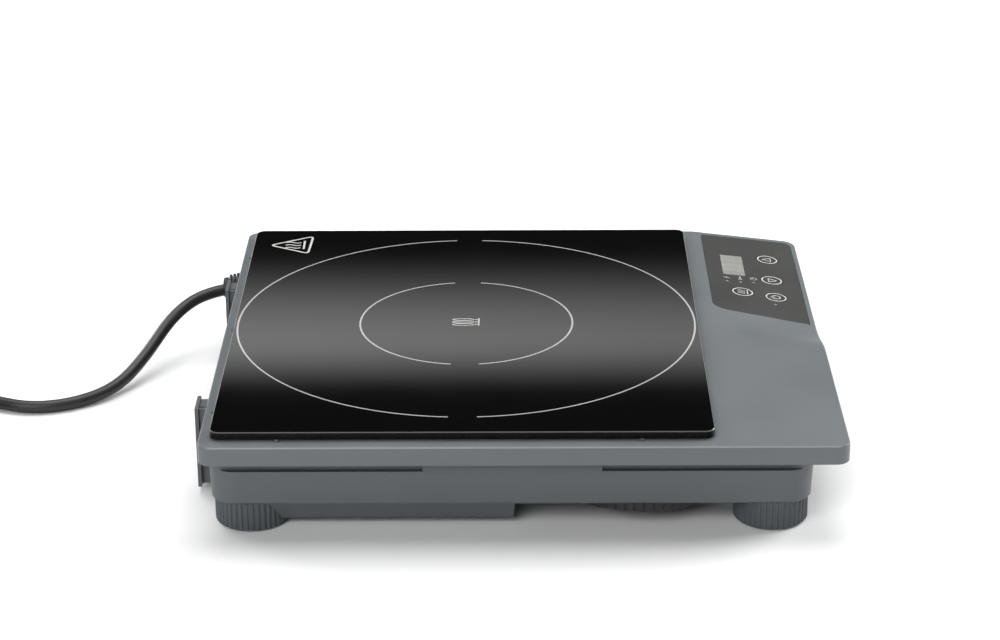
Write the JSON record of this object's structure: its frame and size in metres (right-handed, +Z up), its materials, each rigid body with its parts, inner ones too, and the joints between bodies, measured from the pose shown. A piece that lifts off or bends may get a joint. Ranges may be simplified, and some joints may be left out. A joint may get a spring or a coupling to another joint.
{
  "type": "portable induction cooktop",
  "caption": "Flat table-top induction cooktop: black glass plate on a grey housing with a sloping key panel, ribbed round feet, a fan intake below and a mains cord at the back.",
  "frame": {"origin": "on the surface the feet stand on, under the middle of the body's outline (cord left out)", "axes": "+Z up, -Y towards the user (key panel edge), +X to the user's right (key panel side)"},
  "size_m": [0.316, 0.5775, 0.0587],
  "materials": {
    "cover_grey": "fine moulded grain, satin",
    "case_grey": "fine moulded grain, matt",
    "foot_grey": "ribbed, matt",
    "black_glass": "polished glass ceramic with pale printed rings",
    "silicone": "black silicone",
    "film": "matt dark grey printed film",
    "window": "pale grey clear window",
    "key_face": "matt film with a pale ring and sign",
    "light_pipe": "clear",
    "rubber_black": "satin black",
    "cord_black": "satin black sheath",
    "plug_black": "moulded, satin",
    "plated": "nickel plated brass",
    "screw_steel": "zinc plated",
    "copper": "enamelled litz wire",
    "ferrite": "sintered, dark grey",
    "insulation": "mica and ceramic fibre sheet",
    "moulding_black": "glass filled, black",
    "board_green": "solder mask",
    "aluminium": "extruded",
    "component_blue": "sleeved",
    "component_yellow": "boxed film capacitor",
    "ceramic_white": "fuse tube and clips",
    "ribbon_grey": "flat ribbon",
    "wire_mixed": "PVC insulation"
  },
  "bodies": {
    "housing": {"glass_plate": "black_glass", "glass_gasket": "silicone", "top_cover": "cover_grey", "bottom_case": "case_grey", "foot_front_left": "foot_grey", "foot_front_right": "foot_grey", "foot_rear_left": "foot_grey", "foot_rear_right": "foot_grey", "foot_pads": "rubber_black", "foot_screws": "screw_steel", "rear_bracket_left": "case_grey", "rear_bracket_right": "case_grey", "bracket_screws": "screw_steel", "fan_grille": "moulding_black", "housing_screws": "screw_steel", "control_film": "film", "display_window": "window", "indicator_light_pipes": "light_pipe", "control_board": "board_green", "key_switches": "moulding_black", "display_module": "moulding_black", "ribbon_cable": "ribbon_grey", "buzzer": "moulding_black", "fan_frame": "moulding_black", "fan_screws": "screw_steel", "coil_carrier": "moulding_black", "induction_coil": "copper", "ferrite_bars": "ferrite", "carrier_screws": "screw_steel", "insulation_disc": "insulation", "temperature_sensor": "insulation", "main_board": "board_green", "board_screws": "screw_steel", "heatsink": "aluminium", "power_transistor": "moulding_black", "bridge_rectifier": "moulding_black", "filter_capacitor": "component_yellow", "resonance_capacitor": "component_yellow", "filter_choke": "copper", "supply_transformer": "moulding_black", "electrolytic_capacitors": "component_blue", "fuse": "ceramic_white", "terminal_block": "ceramic_white", "cord_clamp": "moulding_black", "power_cord": "cord_black", "cord_tail": "cord_black", "strain_relief": "rubber_black", "cord_coil": "cord_black", "cord_tie": "rubber_black", "plug_body": "plug_black", "plug_pins": "plated", "coil_leads": "wire_mixed", "mains_wires": "wire_mixed"},
    "fan": {"fan_rotor": "moulding_black"},
    "key_up": {"key_up": "key_face"},
    "key_down": {"key_down": "key_face"},
    "key_function": {"key_function": "key_face"},
    "key_power": {"key_power": "key_face"}
  },
  "joints": [
    {"name": "fan_spin", "type": "hinge", "parent": "housing", "child": "fan", "pos_m": [-0.088, -0.0695, 0.027], "axis": [0, 0, 1], "continuous": true},
    {"name": "key_up_press", "type": "slide", "parent": "housing", "child": "key_up", "axis": [0, 0.1155, -0.9933], "range_m": [0, 0.0003], "stiffness_N_per_m": 800, "springref_m": -0.0006},
    {"name": "key_down_press", "type": "slide", "parent": "housing", "child": "key_down", "axis": [0, 0.1155, -0.9933], "range_m": [0, 0.0003], "stiffness_N_per_m": 800, "springref_m": -0.0006},
    {"name": "key_function_press", "type": "slide", "parent": "housing", "child": "key_function", "axis": [0, 0.1155, -0.9933], "range_m": [0, 0.0003], "stiffness_N_per_m": 800, "springref_m": -0.0006},
    {"name": "key_power_press", "type": "slide", "parent": "housing", "child": "key_power", "axis": [0, 0.1155, -0.9933], "range_m": [0, 0.0003], "stiffness_N_per_m": 800, "springref_m": -0.0006}
  ]
}
